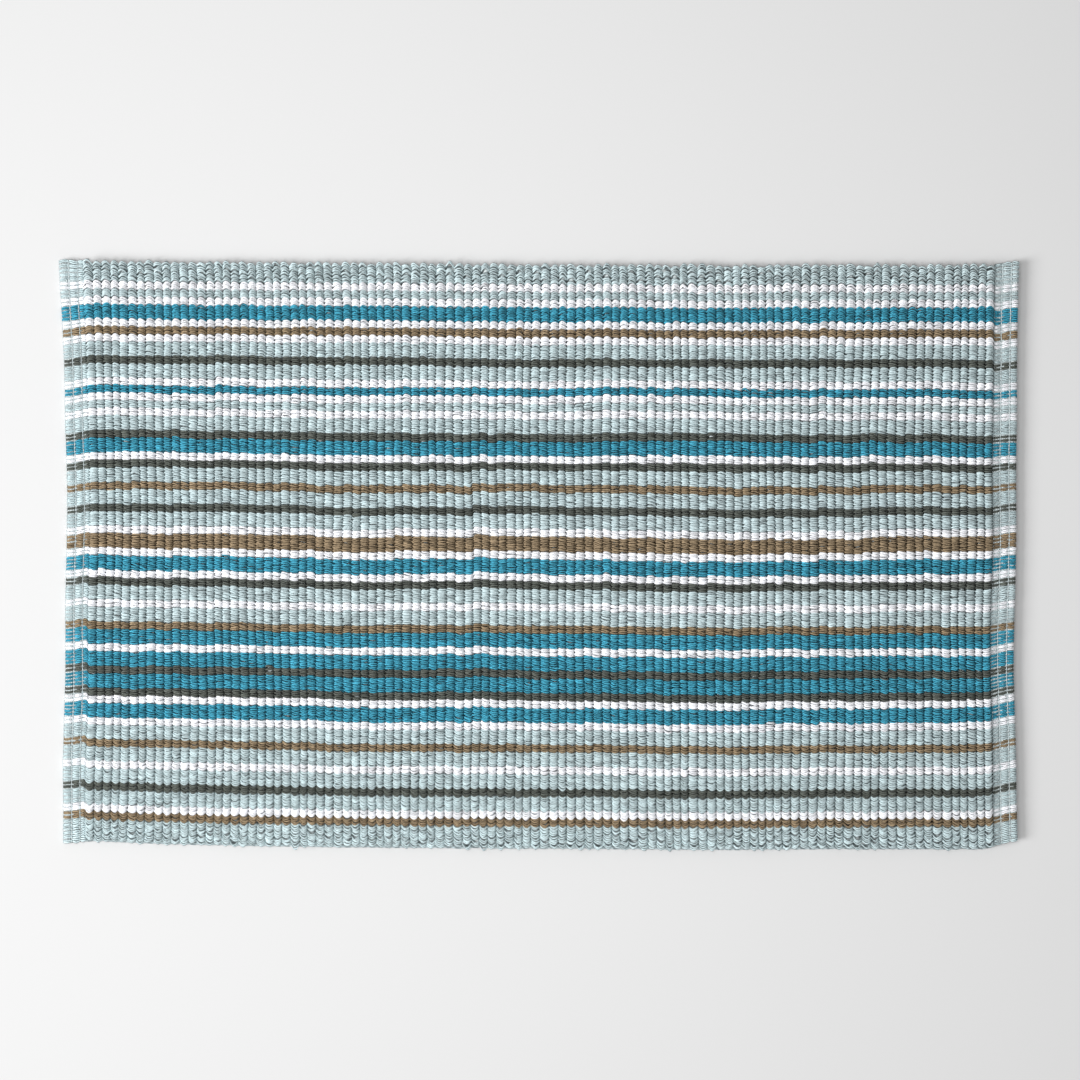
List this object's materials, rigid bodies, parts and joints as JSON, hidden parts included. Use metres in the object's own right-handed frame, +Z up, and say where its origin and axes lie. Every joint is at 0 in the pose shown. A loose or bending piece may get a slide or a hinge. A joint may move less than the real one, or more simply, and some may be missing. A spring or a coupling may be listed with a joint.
{
  "type": "bath mat",
  "caption": "Flat rectangular woven cotton bath mat with raised crosswise ribs, lengthwise coloured stripes and a flat turned hem at each short end.",
  "frame": {"origin": "on the floor, under the middle of the mat, which lies flat with its face up", "axes": "+X along the stripes, from hem to hem; +Y across the stripes, along the ribs; +Z up out of the face"},
  "size_m": [0.864, 0.5282, 0.009],
  "materials": {
    "seafoam": "matt cotton yarn, pale grey-green",
    "white": "matt cotton yarn, white",
    "blue": "matt cotton yarn, teal blue",
    "brown": "matt cotton yarn, taupe brown",
    "charcoal": "matt cotton yarn, dark grey",
    "weft": "matt cotton cord, pale grey-green",
    "seam_thread": "fine cotton sewing thread, off-white"
  },
  "bodies": {
    "root": {"stripe_01_seafoam": "seafoam", "stripe_02_white": "white", "stripe_03_seafoam": "seafoam", "stripe_04_white": "white", "stripe_05_blue": "blue", "stripe_06_white": "white", "stripe_07_brown": "brown", "stripe_08_white": "white", "stripe_09_seafoam": "seafoam", "stripe_10_charcoal": "charcoal", "stripe_11_seafoam": "seafoam", "stripe_12_white": "white", "stripe_13_blue": "blue", "stripe_14_white": "white", "stripe_15_seafoam": "seafoam", "stripe_16_white": "white", "stripe_17_seafoam": "seafoam", "stripe_18_charcoal": "charcoal", "stripe_19_blue": "blue", "stripe_20_white": "white", "stripe_21_charcoal": "charcoal", "stripe_22_seafoam": "seafoam", "stripe_23_brown": "brown", "stripe_24_seafoam": "seafoam", "stripe_25_charcoal": "charcoal", "stripe_26_seafoam": "seafoam", "stripe_27_white": "white", "stripe_28_brown": "brown", "stripe_29_white": "white", "stripe_30_blue": "blue", "stripe_31_white": "white", "stripe_32_charcoal": "charcoal", "stripe_33_seafoam": "seafoam", "stripe_34_white": "white", "stripe_35_seafoam": "seafoam", "stripe_36_brown": "brown", "stripe_37_blue": "blue", "stripe_38_white": "white", "stripe_39_blue": "blue", "stripe_40_charcoal": "charcoal", "stripe_41_blue": "blue", "stripe_42_charcoal": "charcoal", "stripe_43_white": "white", "stripe_44_blue": "blue", "stripe_45_white": "white", "stripe_46_seafoam": "seafoam", "stripe_47_brown": "brown", "stripe_48_seafoam": "seafoam", "stripe_49_white": "white", "stripe_50_seafoam": "seafoam", "stripe_51_charcoal": "charcoal", "stripe_52_seafoam": "seafoam", "stripe_53_white": "white", "stripe_54_brown": "brown", "stripe_55_seafoam": "seafoam", "filler_weft": "weft", "hem_weft_left": "weft", "hem_weft_right": "weft", "hem_seam_left": "seam_thread", "hem_seam_right": "seam_thread"}
  },
  "joints": []
}
